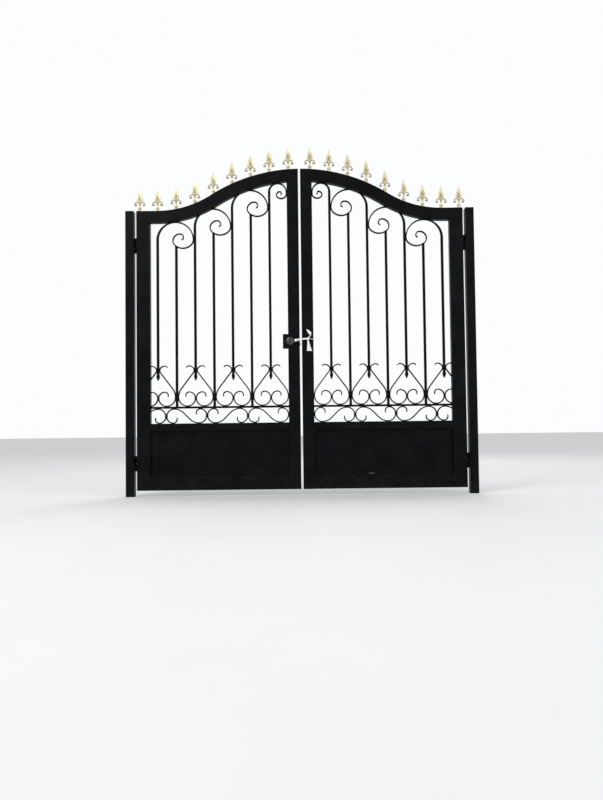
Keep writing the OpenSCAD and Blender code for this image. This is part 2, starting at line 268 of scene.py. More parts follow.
def tube(bm, points, radii, sides=8, flat=1.0, up=DEEP):
    """A round tube through points; flat stretches it along up."""
    rings = []
    last = len(points) - 1
    for i, (p, r) in enumerate(zip(points, radii)):
        ahead = (points[min(i + 1, last)] - points[max(i - 1, 0)]).normalized()
        b = (up - ahead * up.dot(ahead)).normalized()
        a = ahead.cross(b)
        rings.append([bm.verts.new(p + a * r * c + b * flat * r * s) for c, s in circle(sides)])
    loft(bm, rings)


def lathe(bm, profile, origin, axis, sides=32):
    """A turned shape; profile is rows of (radius, distance along axis)."""
    axis = axis.normalized()
    a = axis.orthogonal().normalized()
    b = axis.cross(a)
    rings = []
    for r, h in profile:
        r = max(r, 0.05)
        rings.append([bm.verts.new(origin + axis * h + (a * c + b * s) * r)
                      for c, s in circle(sides)])
    loft(bm, rings)


def bead(bm, a, b, r=1.7):
    """A short run of weld, rippled, from a to b."""
    a, b = Vector(a), Vector(b)
    n = max(4, int((b - a).length / 1.5))
    points, radii = [], []
    for i in range(n + 1):
        t = i / n
        wander = Vector([random.uniform(-0.15, 0.15) for _ in range(3)])
        points.append(a.lerp(b, t) + wander)
        ripple = 1.0 if i % 2 else 0.82
        ends = min(1.0, 0.45 + 3 * min(t, 1 - t))
        radii.append(r * ripple * ends * random.uniform(0.94, 1.06))
    line = (b - a).normalized()
    tube(bm, points, radii, sides=7, up=DEEP if abs(line.y) < 0.9 else UP)


def cut_to_stiles(bm):
    """Cuts off what reaches more than 1 mm into a stile, and closes the cuts."""
    for u, keep_below in ((STILE_U + 1, True), (MEET_U - 1, False)):
        found = bmesh.ops.bisect_plane(bm, geom=bm.verts[:] + bm.edges[:] + bm.faces[:],
                                       dist=1e-5, plane_co=(u, 0, 0), plane_no=ACROSS,
                                       clear_outer=keep_below, clear_inner=not keep_below)
        edges = [e for e in found["geom_cut"]
                 if isinstance(e, bmesh.types.BMEdge) and e.is_boundary]
        bmesh.ops.holes_fill(bm, edges=edges, sides=0)


def add_mesh(bm, other):
    """Adds the mesh of other to bm, and frees other."""
    mesh = bpy.data.meshes.new("part")
    other.to_mesh(mesh)
    other.free()
    bm.from_mesh(mesh)
    bpy.data.meshes.remove(mesh)


def in_scene(name, data):
    """A new object of the scene with that data."""
    o = bpy.data.objects.new(name, data)
    bpy.context.scene.collection.objects.link(o)
    return o


def piece(name, bm, body, material, stands_for=(), side=1, smooth=38, weighted=True):
    """Turns a mesh in millimetres into a piece that rides on a body.

    side mirrors it onto the left leaf; edges of more than smooth degrees stay sharp."""
    place = Matrix.Translation((MIDDLE_X * MM, 0, 0)) @ Matrix.Diagonal((side * MM, MM, MM, 1))
    bm.transform(place)
    bmesh.ops.recalc_face_normals(bm, faces=bm.faces[:])
    mesh = bpy.data.meshes.new(name)
    bm.to_mesh(mesh)
    bm.free()
    mesh.shade_smooth()
    mesh.set_sharp_from_angle(angle=math.radians(smooth))
    mesh.materials.append(material)
    o = in_scene(name, mesh)
    if weighted:
        o.modifiers.new("even_shading", "WEIGHTED_NORMAL").keep_sharp = True
    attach(o, body)
    if stands_for:
        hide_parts(*stands_for)
    return o


# ---------- materials ----------

# The bare scratch on the right leaf's panel: its middle, and how far it reaches either way.
SCRATCH_X, SCRATCH_Z, SCRATCH_REACH_X, SCRATCH_REACH_Z = 1.404, 0.122, 0.023, 0.003
# The band of the tape beside its knot, where the knot's shadow is painted in grey.
KNOT_SHADOW_X, KNOT_SHADOW_Y, KNOT_SHADOW_Z = (1.0485, 1.0515), (-0.012, -0.018), 0.910
QUARTER_TURN = 1.5708


class Nodes:
    """A short way to write a node tree; it works in the piece's own coordinates."""

    def __init__(self, name):
        self.material = bpy.data.materials.new(name)
        self.material.use_nodes = True
        self.tree = self.material.node_tree
        self.shader = self.tree.nodes["Principled BSDF"]
        self.at = self.add("ShaderNodeTexCoord").outputs["Object"]

    def add(self, kind, links=(), **values):
        """A new node, with its inputs from links and its settings from values."""
        node = self.tree.nodes.new(kind)
        for key, value in values.items():
            setattr(node, key, value)
        for socket, source in dict(links).items():
            self.put(node.inputs[socket], source)
        return node

    def put(self, socket, source):
        """Links a socket to another, or sets it to a constant."""
        if isinstance(source, bpy.types.NodeSocket):
            self.tree.links.new(source, socket)
        else:
            socket.default_value = source

    def noise(self, scale, detail=4.0, rough=0.55, stretch=None):
        at = self.at
        if stretch:
            at = self.add("ShaderNodeMapping", {"Vector": at, "Scale": stretch}).outputs[0]
        links = {"Vector": at, "Scale": scale, "Detail": detail, "Roughness": rough}
        return self.add("ShaderNodeTexNoise", links).outputs[0]

    def math(self, kind, a, b=0.0, clamp=False):
        return self.add("ShaderNodeMath", {0: a, 1: b}, operation=kind, use_clamp=clamp).outputs[0]

    def times(self, a, b):
        return self.math("MULTIPLY", a, b)

    def plus(self, a, b):
        """The sum of a and b, held between 0 and 1."""
        return self.math("ADD", a, b, clamp=True)

    def ramp(self, value, low, high, out=(0.0, 1.0)):
        """value between low and high, mapped onto out and held at its ends."""
        links = {0: value, 1: low, 2: high, 3: out[0], 4: out[1]}
        return self.add("ShaderNodeMapRange", links).outputs[0]

    def mix(self, factor, a, b):
        node = self.add("ShaderNodeMix", data_type="RGBA")
        self.put(node.inputs[0], factor)
        self.put(node.inputs[6], a)
        self.put(node.inputs[7], b)
        return node.outputs[2]

    def facing_up(self):
        """1 on faces that look up, -1 on those that look down."""
        normal = self.add("ShaderNodeNewGeometry").outputs["Normal"]
        return self.add("ShaderNodeSeparateXYZ", {0: normal}).outputs[2]

    def place(self, axis):
        """The piece's own coordinate along axis 0, 1 or 2."""
        return self.add("ShaderNodeSeparateXYZ", {0: self.at}).outputs[axis]

    def near(self, axis, middle, reach):
        """1 where the coordinate along axis is middle, falling to 0 at reach from it."""
        off = self.math("ABSOLUTE", self.math("SUBTRACT", self.place(axis), middle))
        return self.ramp(off, reach, 0.3 * reach)

    def scratch(self):
        """A short bare scratch at the foot of the right leaf's panel, on its outer face."""
        mark = self.times(self.near(0, SCRATCH_X, SCRATCH_REACH_X),
                          self.near(2, SCRATCH_Z, SCRATCH_REACH_Z))
        mark = self.times(mark, self.ramp(self.place(1), 0.0, -0.0005))
        return self.times(mark, self.ramp(self.noise(260.0, 3.0), 0.36, 0.5))

    def edges(self, radius):
        """1 along edges that stick out or fold in, 0 on the flat."""
        soft = self.add("ShaderNodeBevel", {"Radius": radius}, samples=4).outputs[0]
        true = self.add("ShaderNodeNewGeometry").outputs["Normal"]
        dot = self.add("ShaderNodeVectorMath", {0: soft, 1: true}, operation="DOT_PRODUCT")
        return self.ramp(dot.outputs["Value"], 0.995, 0.90)

    def bump(self, height, strength, distance):
        links = {"Height": height, "Strength": strength, "Distance": distance}
        node = self.add("ShaderNodeBump", links)
        self.tree.links.new(node.outputs[0], self.shader.inputs["Normal"])

    def surface(self, **values):
        """Sets the shader's own sockets, each named in small letters with underscores."""
        for key, value in values.items():
            socket = key.replace("_", " ").title().replace("Ior", "IOR")
            self.put(self.shader.inputs[socket], value)


def rgb(r, g, b):
    return (r, g, b, 1.0)


def black_paint():
    """Semi-gloss black brushed over iron: uneven, dusty on top, chipped and rubbed on edges."""
    n = Nodes("black_paint")
    cloud = n.noise(9.0)
    fine = n.noise(420.0, 3.0)
    chips = n.noise(160.0, 5.0, 0.7)
    base = n.mix(n.ramp(cloud, 0.35, 0.68),
                 rgb(0.0020, 0.0021, 0.0025), rgb(0.0054, 0.0054, 0.0060))
    worn = n.times(n.edges(0.0014), n.ramp(chips, 0.46, 0.64))
    base = n.mix(n.times(worn, 0.65), base, rgb(0.024, 0.022, 0.020))
    rust = n.times(n.edges(0.0012), n.ramp(n.noise(38.0, 6.0, 0.7), 0.66, 0.74))
    base = n.mix(n.times(rust, 0.7), base, rgb(0.075, 0.028, 0.012))
    specks = n.ramp(n.noise(70.0, 6.0, 0.75), 0.735, 0.765, (0.0, 0.4))
    base = n.mix(specks, base, rgb(0.04, 0.018, 0.010))
    base = n.mix(n.scratch(), base, rgb(0.23, 0.22, 0.20))
    foot = n.times(n.ramp(n.place(2), 0.16, 0.0), n.ramp(n.noise(60.0, 6.0), 0.42, 0.75))
    top = n.times(n.ramp(n.facing_up(), 0.35, 0.95), n.ramp(n.noise(60.0, 5.0), 0.3, 0.75))
    dust = n.plus(n.times(foot, 0.10), n.times(top, 0.22))
    base = n.mix(dust, base, rgb(0.13, 0.12, 0.10))
    mottle = n.math("ADD", n.times(cloud, 0.6), n.times(fine, 0.4))
    rough = n.ramp(mottle, 0.3, 0.7, (0.3, 0.46))
    rough = n.plus(rough, n.times(n.plus(dust, rust), 0.4))
    n.bump(n.math("ADD", n.times(fine, 0.5), n.times(n.noise(95.0, 2.0), 0.8)), 0.2, 0.0006)
    n.surface(base_color=base, roughness=rough, specular_ior_level=0.055)
    return n.material


def rubbed_and_highlit_black():
    """Black finish that hands have rubbed down to grey metal along its edges, that grey made light
    enough to be a painted highlight on the rims.
    """
    n = Nodes("rubbed_and_highlit_black")
    cloud = n.noise(120.0, 5.0, 0.6)
    base = n.mix(n.ramp(cloud, 0.35, 0.7), rgb(0.014, 0.014, 0.015), rgb(0.055, 0.054, 0.053))
    # rubbed wear and a painted highlight: edges are mixed towards light grey
    rub_and_highlight = n.times(n.edges(0.003), n.ramp(n.noise(300.0, 4.0), 0.25, 0.5))
    base = n.mix(rub_and_highlight, base, rgb(0.52, 0.50, 0.46))
    scratch = n.noise(500.0, 6.0, 0.7, stretch=(1.0, 1.0, 0.1))
    n.bump(scratch, 0.1, 0.0003)
    n.surface(base_color=base, roughness=n.ramp(scratch, 0.3, 0.7, (0.22, 0.4)), metallic=0.6)
    return n.material


def gold_paint():
    """Pale worn gold over cast iron, chipped, with painted light: brown painted shade below, in
    hollows and on marked parts, and a painted highlight on its edges.
    """
    n = Nodes("gold_paint")
    cloud = n.noise(55.0, 4.0)
    hollow = n.add("ShaderNodeAmbientOcclusion", {"Distance": 0.012}, samples=4).outputs["AO"]
    base = n.mix(n.ramp(cloud, 0.35, 0.65), rgb(0.64, 0.545, 0.285), rgb(0.90, 0.825, 0.55))
    # painted shade: faces that look down are mixed towards brown
    under = n.times(n.ramp(n.facing_up(), 0.1, -0.55), 0.75)
    base = n.mix(under, base, rgb(0.15, 0.092, 0.034))
    # painted shade: hollows that the AO finds are mixed towards dark brown
    base = n.mix(n.ramp(hollow, 0.82, 0.4), base, rgb(0.085, 0.048, 0.018))
    # painted shade: where the finials' vertex layer marks shade, the gold is mixed towards dark
    # brown
    dirt_and_painted_shade = n.add("ShaderNodeAttribute", attribute_name="dirt_and_painted_shade").outputs["Fac"]
    dirt_and_painted_shade = n.times(dirt_and_painted_shade, n.ramp(n.noise(110.0, 5.0, 0.7), 0.35, 0.58, (0.5, 0.92)))
    base = n.mix(dirt_and_painted_shade, base, rgb(0.085, 0.064, 0.024))
    # painted highlight: edges are mixed towards pale gold
    base = n.mix(n.times(n.edges(0.002), n.ramp(n.noise(260.0, 4.0), 0.34, 0.55)),
                 base, rgb(0.92, 0.86, 0.62))
    chips = n.ramp(n.noise(130.0, 6.0, 0.72), 0.635, 0.66)
    base = n.mix(n.times(chips, 0.8), base, rgb(0.11, 0.058, 0.022))
    rough = n.ramp(n.noise(180.0, 4.0), 0.3, 0.7, (0.42, 0.6))
    metal = n.ramp(chips, 0.0, 1.0, (0.42, 0.1))
    n.bump(n.math("SUBTRACT", n.noise(240.0, 4.0), n.times(chips, 0.5)), 0.25, 0.0008)
    n.surface(base_color=base, roughness=rough, metallic=metal)
    return n.material


def polished_steel():
    """Plated metal with fine scratches along the handle."""
    n = Nodes("polished_steel")
    scratch = n.noise(260.0, 6.0, 0.7, stretch=(0.12, 1.0, 1.0))
    base = n.mix(n.ramp(n.noise(60.0), 0.35, 0.7), rgb(0.90, 0.90, 0.89), rgb(0.79, 0.79, 0.78))
    base = n.mix(n.times(n.edges(0.001), 0.6), base, rgb(0.94, 0.94, 0.92))
    # painted shade: faces that look down are mixed towards dark grey
    under = n.times(n.ramp(n.facing_up(), -0.1, -0.7), 0.85)
    base = n.mix(under, base, rgb(0.13, 0.125, 0.12))
    rough = n.ramp(scratch, 0.35, 0.7, (0.13, 0.3))
    n.bump(scratch, 0.08, 0.0003)
    n.surface(base_color=base, roughness=rough, metallic=1.0)
    return n.material


def plain_steel():
    """Dull bare steel with a little rust."""
    n = Nodes("plain_steel")
    grain = n.noise(300.0, 5.0, 0.6, stretch=(1.0, 1.0, 0.15))
    rust = n.ramp(n.noise(60.0, 6.0, 0.7), 0.6, 0.7)
    base = n.mix(n.ramp(grain, 0.3, 0.7), rgb(0.36, 0.36, 0.35), rgb(0.50, 0.50, 0.49))
    base = n.mix(n.times(n.edges(0.001), 0.5), base, rgb(0.62, 0.62, 0.6))
    base = n.mix(n.times(rust, 0.7), base, rgb(0.17, 0.075, 0.03))
    n.bump(grain, 0.12, 0.0004)
    n.surface(base_color=base, roughness=n.ramp(grain, 0.3, 0.7, (0.35, 0.55)),
              metallic=n.ramp(rust, 0.0, 1.0, (0.95, 0.2)))
    return n.material


def white_cloth():
    """Matt white tape: a plain weave, a little dirty, and a painted shadow in grey on the band
    beside its knot.
    """
    n = Nodes("white_cloth")
    threads = []
    for turn in (0.0, QUARTER_TURN):
        at = n.add("ShaderNodeMapping", {"Vector": n.at, "Rotation": (0, turn, 0)}).outputs[0]
        links = {"Vector": at, "Scale": 420.0, "Distortion": 0.6, "Detail": 1.0}
        threads.append(n.add("ShaderNodeTexWave", links).outputs["Fac"])
    weave = n.math("MAXIMUM", threads[0], threads[1])
    dirt_and_painted_shade = n.ramp(n.noise(70.0, 5.0), 0.5, 0.75)
    base = n.mix(dirt_and_painted_shade, rgb(0.90, 0.90, 0.90), rgb(0.76, 0.75, 0.72))
    base = n.mix(n.ramp(weave, 0.0, 0.6, (0.2, 0.0)), base, rgb(0.62, 0.61, 0.60))
    base = n.mix(n.times(n.edges(0.0008), 0.3), base, rgb(0.66, 0.64, 0.60))
    # painted shadow: the band beside the knot is mixed towards grey
    knot_shadow = n.times(n.ramp(n.place(0), *KNOT_SHADOW_X), n.near(2, KNOT_SHADOW_Z, 0.012))
    knot_shadow = n.times(knot_shadow, n.ramp(n.place(1), *KNOT_SHADOW_Y))
    base = n.mix(n.times(knot_shadow, 0.85), base, rgb(0.20, 0.195, 0.19))
    n.bump(weave, 0.35, 0.0004)
    n.surface(base_color=base, roughness=n.ramp(weave, 0.0, 1.0, (0.95, 0.8)), sheen_weight=0.25)
    return n.material


# By the record's slot. The rubbed black, whose grey edges are partly a painted highlight, is for
# the furniture, which has the paint's slot.
MATERIALS = {"black_paint": black_paint(), "gold_paint": gold_paint(),
             "plain_steel": plain_steel(), "polished_steel": polished_steel(),
             "white_cloth": white_cloth()}
RUBBED_AND_HIGHLIT = rubbed_and_highlit_black()


# ---------- frame members: the CAD solids, with rounded edges ----------

def dress(node, slot, edge):
    """Gives a CAD node its material, and rounds its edges by edge millimetres."""
    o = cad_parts[node]
    o.data.materials.clear()
    o.data.materials.append(MATERIALS[slot])
    weld = o.modifiers.new("join", "WELD")
    weld.merge_threshold = 1e-5
    bevel = o.modifiers.new("rounded_edges", "BEVEL")
    bevel.width = edge * MM
    bevel.segments = 3
    bevel.limit_method = "ANGLE"
    bevel.angle_limit = math.radians(35)
    shade = o.modifiers.new("smooth", "WEIGHTED_NORMAL")
    shade.keep_sharp = True
    o.data.shade_smooth()


EDGES = {"post": 3.0, "hinge_stile": 2.5, "meeting_stile": 2.5, "top_rail": 2.5, "mid_rail": 2.5,
         "bottom_rail": 2.5, "thin_rail": 1.5, "leaf_hinges": 0.8, "post_hinges": 0.8}
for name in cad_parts:
    stem = name.rsplit("_", 1)[0]
    if stem in EDGES:
        dress(name, "black_paint", EDGES[stem])
dress("lock_case", "black_paint", 0.6)
for name in ("latch_bolt", "keep_plate"):
    dress(name, "plain_steel", 0.6)
dress("spindle", "plain_steel", 0.4)


# ---------- the grille ----------

# Half width of a hanging bar's pointed tip, by height above its point, and its stations.
DART_H = 40
DART = [(0, 0.7), (4, 3.1), (9, 5.3), (14, 7.0), (20, 8.7), (26, 9.5), (31, 9.0), (36, 7.9),
        (DART_H, BAR_SEEN / 2)]
DART_STEPS = (0, 2, 4, 6.5, 9, 11.5, 14, 17, 20, 23, 26, 28.5, 31, 33.5, 36, 38, DART_H)


def hanging_bar(bm, n):
    """A pointed tip, a square bar and a crook that is drawn down and wound in."""
    u, z = BAR_U[n], crook_z(n)
    foot = [(u, TIP_Z + s, 90) for s in DART_STEPS]
    for k in range(1, 9):
        foot.append((u, TIP_Z + DART_H + (z - TIP_Z - DART_H) * k / 9, 90))
    crook = path_of(crook_moves(n), (u, z), 90)
    straight = z - TIP_Z
    drawn = math.radians(60) * crook_r(n)

    def size(s, total):
        if s < straight:
            w = 2 * between(DART, s)[0]
            return w, w
        k = min(1.0, (s - straight) / drawn)
        past = (s - straight) / max(1e-6, total - straight)
        tip = min(1.0, max(0.0, (total - s) / 30))
        across = BAR_SEEN + (CROOK_SEEN - BAR_SEEN) * k
        return across * (0.8 + 0.2 * tip), BAR_SEEN - 2.5 * past

    sweep(bm, foot + crook, size)


def curl_centre(n):
    """Centre of the arc at the foot of crook n's curl."""
    r = crook_r(n)
    shift = 0.26 * r * sind(45)
    return BAR_U[n] - 1.6 * r + shift, crook_z(n) + shift


def standing_bar(bm, n):
    """A square bar from the thin rail up to the curl that it carries; gives its height."""
    u = BAR_U[n]
    cu, cz = curl_centre(n + 1)
    r = 0.66 * crook_r(n + 1)

    def curl_z(at):
        return cz - math.sqrt(r * r - (at - cu) ** 2)

    rings = []
    section = rounded(BAR_SEEN, BAR_SEEN, 1.3)
    for k in range(8):
        z = THIN_TOP + (curl_z(u) - 12 - THIN_TOP) * k / 7
        rings.append(ring(bm, Vector((u, 0, z)), ACROSS, DEEP, section))
    rings.append([bm.verts.new((u + a, b, curl_z(u + a))) for a, b in section])
    loft(bm, rings)
    return curl_z(u)


def bars_of(_side):
    """The hanging and standing bars, welded to the rail, the curls and the thin rail."""
    bm = bmesh.new()
    for n in HANGING:
        hanging_bar(bm, n)
        r, z = crook_r(n), crook_z(n)
        top, touch = BAR_U[n] - r, BAR_U[n] - 2 * r - CROOK / 2
        start, end = top - 13, top + 13
        for y in (-BAR / 2 + 1, BAR / 2 - 1):
            bead(bm, (start, y, rail_line(start, RAIL_H)), (end, y, rail_line(end, RAIL_H)), 2.1)
            bead(bm, (touch, y, z - 11), (touch, y, z + 11), 1.7)
    for n in STANDING:
        z = standing_bar(bm, n)
        u = BAR_U[n]
        for y in (-BAR_SEEN / 2, BAR_SEEN / 2):
            bead(bm, (u - 6, y, THIN_TOP), (u + 6, y, THIN_TOP), 2.0)
            bead(bm, (u - 6, y, z + 2.5), (u + 6, y, z - 5), 1.7)
        for a in (-BAR_SEEN / 2, BAR_SEEN / 2):
            bead(bm, (u + a, -6, THIN_TOP), (u + a, 6, THIN_TOP), 2.0)
    return bm


def strap_size(s, total):
    """A strap's thickness and depth, a little less over the 25 mm at either end."""
    ends = min(1.0, s / 25, (total - s) / 25)
    return STRAP_SEEN * (0.8 + 0.2 * ends), BAR_SEEN - 1.5 + 1.5 * ends


def lyres_of(_side):
    """Two arms and two hooks at each hanging bar's tip, welded to it and to the thin rail."""
    bm = bmesh.new()
    arm = path_of(ARM_MOVES, (ARM_X, LYRE_TOUCH), -90)
    hook = path_of(HOOK_MOVES, (ARM_X, LYRE_TOUCH), 90)
    whole = turned_back(hook)[:-1] + arm
    foot = [p for p in arm if p[1] < FOOT_Z - FOOT_R + 0.5]
    for n in HANGING:
        for mirror in (False, True):
            path = moved(whole, BAR_U[n], 0, mirror)
            sweep(bm, path, strap_size, edge=1.1, round_start=True)
            s = -1 if mirror else 1
            u = BAR_U[n] + s * (BAR / 2)
            for y in (-BAR / 2 + 0.8, BAR / 2 - 0.8):
                bead(bm, (u, y, LYRE_TOUCH - 7), (u, y, LYRE_TOUCH + 7), 1.6)
                low = BAR_U[n] + s * foot[len(foot) // 2][0]
                bead(bm, (low - 8, y, THIN_TOP), (low + 8, y, THIN_TOP), 1.6)
    cut_to_stiles(bm)
    return bm


def band_of(_side):
    """Four S-scrolls, each the mirror image of the one before, welded to the rails."""
    bm = bmesh.new()
    half = path_of(BAND_MOVES, (0, 0), BAND_TURN)
    whole = turned_back(moved(half, flip=True))[:-1] + half
    for n in range(4):
        path = moved(whole, MEET_U + (n + 0.5) * BAND_L, MID_TOP + BAND_H / 2, mirror=n % 2 == 1)
        sweep(bm, path, strap_size, edge=1.1, round_start=True)
        for z, pick in ((MID_TOP, min), (MID_TOP + BAND_H, max)):
            u = pick(path, key=lambda p: p[1])[0]
            if MEET_U + 12 < u < STILE_U - 12:
                for y in (-BAR / 2 + 0.8, BAR / 2 - 0.8):
                    bead(bm, (u - 7, y, z), (u + 7, y, z), 1.5)
    cut_to_stiles(bm)
    return bm


def collars_of(_side):
    """Grooved bands that hold the S-scrolls together where two of them touch."""
    bm = bmesh.new()
    half = COLLAR / 2
    steps = [(-half, 0.86), (-half + 0.8, 0.97), (-half + 2, 1.0), (-2.2, 1.0), (-1.4, 0.93),
             (1.4, 0.93), (2.2, 1.0), (half - 2, 1.0), (half - 0.8, 0.97), (half, 0.86)]
    for n in (1, 2, 3):
        u = MEET_U + n * BAND_L
        z = MID_TOP + BAND_H - BAND_R - 2 if n % 2 else MID_TOP + BAND_R + 2
        loft(bm, [ring(bm, Vector((u, 0, z + dz)), ACROSS, DEEP,
                       rounded(COLLAR * k, (BAR + 4) * k, 2.0)) for dz, k in steps])
    return bm


# ---------- kick panel, finials, welds ----------

def panel_of(side):
    """A sheet that has buckled a little between its welds."""
    bm = bmesh.new()
    nu, nz = 64, 24
    z0, z1 = GROUND_GAP + BOTTOM_H, MID_TOP - MID_H

    def wave(u, z):
        s, t = (u - MEET_U) / (STILE_U - MEET_U), (z - z0) / (z1 - z0)
        fade = min(1, 8 * min(s, 1 - s), 6 * min(t, 1 - t))
        return 0.9 * fade * noise.noise(Vector((u / 210, side * 3.1, z / 120)))

    sheets = []
    for face in (-1, 1):
        rows = []
        for j in range(nz + 1):
            z = z0 + (z1 - z0) * j / nz
            row = []
            for i in range(nu + 1):
                u = MEET_U + (STILE_U - MEET_U) * i / nu
                row.append(bm.verts.new((u, face * PANEL_T / 2 + wave(u, z), z)))
            rows.append(row)
        for a, b in zip(rows, rows[1:]):
            for i in range(nu):
                bm.faces.new((a[i], a[i + 1], b[i + 1], b[i]))
        rim = rows[0] + [r[-1] for r in rows[1:]] + rows[-1][-2::-1] + [r[0] for r in rows[-2:0:-1]]
        sheets.append(rim)
    loft(bm, sheets, caps=False)
    for y in (-PANEL_T / 2, PANEL_T / 2):
        for k in range(6):
            u = MEET_U + 40 + k * (STILE_U - MEET_U - 110) / 5
            for z in (z0, z1):
                bead(bm, (u, y, z), (u + 30, y, z), 2.0)
        for z in (z0 + 30, z0 + 120, z1 - 60):
            for u in (MEET_U, STILE_U):
                bead(bm, (u, y, z), (u, y, z + 30), 2.0)
    return bm


# The stem of a finial: rows of (radius, height above the rail).
STEM = [(0.1, -8), (9, -8), (9.4, 1), (10, 2.4), (10, 4.6), (8.8, 6), (8.2, 8), (8.6, 11),
        (9.6, 14.5), (10.4, 18), (10.7, 21), (10.3, 24), (8.9, 27), (6.9, 29.4), (5.4, 31.4),
        (5, 34), (5, 38), (5.4, 43), (6.1, 48), (7.4, 50.6), (8.6, 51.8), (8.7, 53.8), (7.6, 55.2),
        (6.2, 56.4), (5, 59), (0.1, 63)]
# Its blade: rows of (height above the blade's foot, half width, half thickness).
BLADE_FOOT = 56.0
BLADE_H = FINIAL_H - BLADE_FOOT - 0.6
BLADE = [(0, 4.5, 4), (3, 6.5, 4.6), (6, 9, 5.2), (9, 12, 5.8), (12, 15, 6.3), (15, 17.1, 6.6),
         (18, 18, 6.8), (22, 17.9, 6.8), (28, 16.9, 6.5), (34, 15.5, 6.1), (40, 13.8, 5.6),
         (46, 11.7, 5), (52, 9.5, 4.4), (58, 7.3, 3.7), (64, 5.3, 3), (70, 3.6, 2.3), (76, 2, 1.5),
         (BLADE_H, 0.7, 0.7)]
# A quarter of the blade's section, and the whole: hollowed, with a vein down its middle.
QUARTER = [(1, 0), (0.95, 0.3), (0.8, 0.54), (0.5, 0.46), (0.22, 0.48), (0.09, 0.82), (0, 0.88)]
BLADE_SECTION = (QUARTER + [(-a, b) for a, b in QUARTER[-2::-1]]
                 + [(-a, -b) for a, b in QUARTER[1:]] + [(a, -b) for a, b in QUARTER[-2:0:-1]])
# One curl: it leaves the stem at CURL_FROM, rising by CURL_RISE degrees, on two radii, round a bud.
CURL_FROM, CURL_RISE, CURL_R, CURL_IN_R, BUD_R = (3, BLADE_FOOT - 1.5), 40, 16.5, 6.2, 4.4
CURL = path_of([(CURL_R, -90 - CURL_RISE), (CURL_IN_R, -225)], CURL_FROM, CURL_RISE, fine=9)
CURL_EYE = (CURL_FROM[0] + CURL_R * (1 + sind(CURL_RISE)) - CURL_IN_R,
            CURL_FROM[1] - CURL_R * cosd(CURL_RISE))
BUD = [(BUD_R * cosd(a), BUD_R * sind(a)) for a in range(-90, 91, 18)]


def paint_shade(bm, start, amount):
    """Gives the vertices added since start their share of painted shade, a number from
    amount(point).
    """
    layer = bm.verts.layers.float["dirt_and_painted_shade"]
    for v in list(bm.verts)[start:]:
        v[layer] = amount(v.co)


def finial(bm, u, z):
    """A cast spear: a vase, a collar, a pair of curls and a hollowed blade with a vein."""
    foot = Vector((u, 0, z))
    start = len(bm.verts)
    lathe(bm, STEM, foot, UP, sides=24)
    # painted shade round the stem's waist below the collar
    paint_shade(bm, start, lambda p: 0.5 * math.exp(-((p.z - z - 42) / 7) ** 2))

    start = len(bm.verts)
    rings = []
    for k in range(30):
        h = BLADE_H * k / 29
        a, b = between(BLADE, h)
        rings.append(ring(bm, foot + UP * (BLADE_FOOT + h), ACROSS, DEEP,
                          [(a * x, b * y) for x, y in BLADE_SECTION]))
    loft(bm, rings)
    # painted shade down the middle of the blade, in its hollow
    paint_shade(bm, start, lambda p: (math.exp(-((p.z - z - BLADE_FOOT - 23) / 13) ** 2)
                                 * min(1.0, max(0.0, 1.2 - abs(p.x - u) / 8))))

    for s in (1, -1):
        points = [foot + Vector((s * x, 0, h)) for x, h, _ in CURL]
        start = len(bm.verts)
        tube(bm, points, [3.5 - 0.9 * i / len(CURL) for i in range(len(CURL))], flat=1.1)
        # painted shade on the curls
        paint_shade(bm, start, lambda p: 0.75)
        lathe(bm, BUD, foot + Vector((s * CURL_EYE[0], 0, CURL_EYE[1])), DEEP, sides=14)


def finials_of(side):
    """A row of finials, each set a little askew."""
    bm = bmesh.new()
    # the layer that marks where shade is painted on the finials
    bm.verts.layers.float.new("dirt_and_painted_shade")
    for i, u in enumerate(FINIAL_U):
        start = len(bm.verts)
        finial(bm, u, rail_line(u))
        askew = 9 * noise.noise(Vector((i * 1.7, side * 2.3, 0.4)))
        bmesh.ops.rotate(bm, cent=(u, 0, 0), matrix=Matrix.Rotation(math.radians(askew), 3, "Z"),
                         verts=list(bm.verts)[start:])
    return bm


# Radius of the welds at a post's cap, on the frame's seams, and round the hinge plates.
CAP_WELD, SEAM_WELD, PLATE_WELD = 0.9, 1.1, 2.2


def frame_welds_of(_side):
    """Runs of weld where the tubes of a leaf's frame meet, and round its hinge plates."""
    bm = bmesh.new()
    for y in (-FRAME_D / 2, FRAME_D / 2):
        for u in (MEET_U, STILE_U):
            bead(bm, (u, y, MID_TOP - MID_H + 2), (u, y, MID_TOP - 2), SEAM_WELD)
            bead(bm, (u, y, GROUND_GAP + 2), (u, y, GROUND_GAP + BOTTOM_H - 2), SEAM_WELD)
        bead(bm, (STILE_U + 2, y, POST_H - RAIL_H), (LEAF_U - 2, y, POST_H - RAIL_H), SEAM_WELD)
    for y in (-FRAME_D / 2, FRAME_D / 2):
        start, end = [(u, y, rail_line(u, RAIL_H)) for u in (EDGE_U + 2, MEET_U - 2)]
        bead(bm, start, end, SEAM_WELD)
    y = FRAME_D / 2 + 0.6
    for z in HINGE_Z:
        for h in (z + 0.5, z + 0.5 + KNUCKLE_H):
            bead(bm, (AXIS_U - 41, y, h), (LEAF_U - 2, y, h), PLATE_WELD)
        bead(bm, (AXIS_U - 42, y, z + 3), (AXIS_U - 42, y, z + KNUCKLE_H - 3), PLATE_WELD)
    return bm


